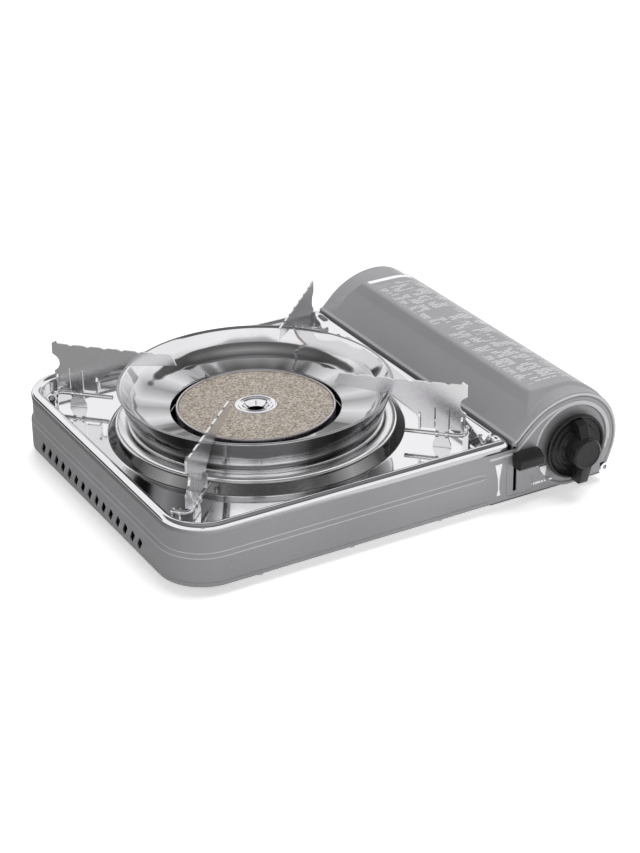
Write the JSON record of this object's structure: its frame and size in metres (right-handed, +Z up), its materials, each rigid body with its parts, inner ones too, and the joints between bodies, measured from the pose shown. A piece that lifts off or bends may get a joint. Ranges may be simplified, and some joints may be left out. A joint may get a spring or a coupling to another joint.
{
  "type": "portable cassette gas stove",
  "caption": "Low portable gas stove with a round ceramic burner in a wind dish, hinged pan supports on a bright tray, and a hinged cartridge lid with knob and lever on the right.",
  "frame": {"origin": "centre of the bounding box at the table surface, under the feet", "axes": "+X to the cartridge side, +Y to the back, +Z up; the knob and lever face -Y"},
  "size_m": [0.345, 0.2934, 0.0906],
  "materials": {
    "painted_steel": "silver-grey metallic enamel",
    "stainless": "mirror-polished stainless steel",
    "plated_steel": "zinc-plated steel sheet",
    "burner_steel": "satin aluminised steel",
    "ceramic_plate": "porous taupe ceramic",
    "white_ceramic": "glazed white ceramic",
    "die_cast": "die-cast alloy",
    "brass": "turned brass",
    "black_plastic": "semi-gloss black plastic",
    "black_rubber": "matte black rubber"
  },
  "bodies": {
    "case": {"lower_case": "painted_steel", "bottom_plate": "plated_steel", "case_screws": "plated_steel", "foot_front_left": "black_rubber", "foot_front_right": "black_rubber", "foot_rear_left": "black_rubber", "foot_rear_right": "black_rubber", "top_plate": "stainless", "wind_dish": "stainless", "burner_cup": "burner_steel", "burner_ceramic": "ceramic_plate", "burner_outer_ring": "burner_steel", "burner_centre_ring": "burner_steel", "burner_bracket": "plated_steel", "mixing_tube": "burner_steel", "gas_nozzle": "brass", "valve_body": "die_cast", "regulator_cap": "brass", "cartridge_socket": "die_cast", "socket_seal": "black_rubber", "divider": "plated_steel", "heat_shield": "plated_steel", "lever_guide": "plated_steel", "carriage_guides": "plated_steel", "igniter_body": "black_plastic", "igniter_wire": "black_rubber", "electrode": "plated_steel", "electrode_insulator": "white_ceramic", "hinge_bracket_front": "plated_steel", "hinge_bracket_rear": "plated_steel", "hinge_pin_front": "plated_steel", "hinge_pin_rear": "plated_steel", "support_lugs": "stainless"},
    "lid": {"lid": "painted_steel"},
    "knob": {"knob": "black_plastic", "valve_spindle": "plated_steel"},
    "lever": {"lever_slide": "plated_steel", "lever_tab": "black_plastic"},
    "carriage": {"carriage_strip": "plated_steel", "push_plate": "plated_steel"},
    "support_front_left": {"support_blade_front_left": "stainless", "support_rod_front_left": "stainless"},
    "support_front_right": {"support_blade_front_right": "stainless", "support_rod_front_right": "stainless"},
    "support_rear_left": {"support_blade_rear_left": "stainless", "support_rod_rear_left": "stainless"},
    "support_rear_right": {"support_blade_rear_right": "stainless", "support_rod_rear_right": "stainless"}
  },
  "joints": [
    {"name": "lid_hinge", "type": "hinge", "parent": "case", "child": "lid", "pos_m": [0.1635, 0.0097, 0.011], "axis": [0, 1, 0], "range_deg": [0, 90]},
    {"name": "knob_turn", "type": "hinge", "parent": "case", "child": "knob", "pos_m": [0.1335, -0.1363, 0.0375], "axis": [0, -1, 0], "range_deg": [0, 130]},
    {"name": "lever_slide", "type": "slide", "parent": "case", "child": "lever", "axis": [0, 0, -1], "range_m": [0, 0.024]},
    {"name": "carriage_slide", "type": "slide", "parent": "case", "child": "carriage", "axis": [0, -1, 0], "range_m": [0, 0.008]},
    {"name": "support_swing_front_left", "type": "hinge", "parent": "case", "child": "support_front_left", "pos_m": [-0.1509, -0.0966, 0.049], "axis": [0.7071, -0.7071, 0], "range_deg": [0, 60]},
    {"name": "support_swing_front_right", "type": "hinge", "parent": "case", "child": "support_front_right", "pos_m": [0.0627, -0.0966, 0.049], "axis": [0.7071, 0.7071, 0], "range_deg": [0, 60]},
    {"name": "support_swing_rear_left", "type": "hinge", "parent": "case", "child": "support_rear_left", "pos_m": [-0.1509, 0.117, 0.049], "axis": [-0.7071, -0.7071, 0], "range_deg": [0, 60]},
    {"name": "support_swing_rear_right", "type": "hinge", "parent": "case", "child": "support_rear_right", "pos_m": [0.0627, 0.117, 0.049], "axis": [-0.7071, 0.7071, 0], "range_deg": [0, 60]}
  ],
  "couplings": [
    {"joint": "carriage_slide", "follows": "lever_slide", "ratio": 0.33333}
  ]
}
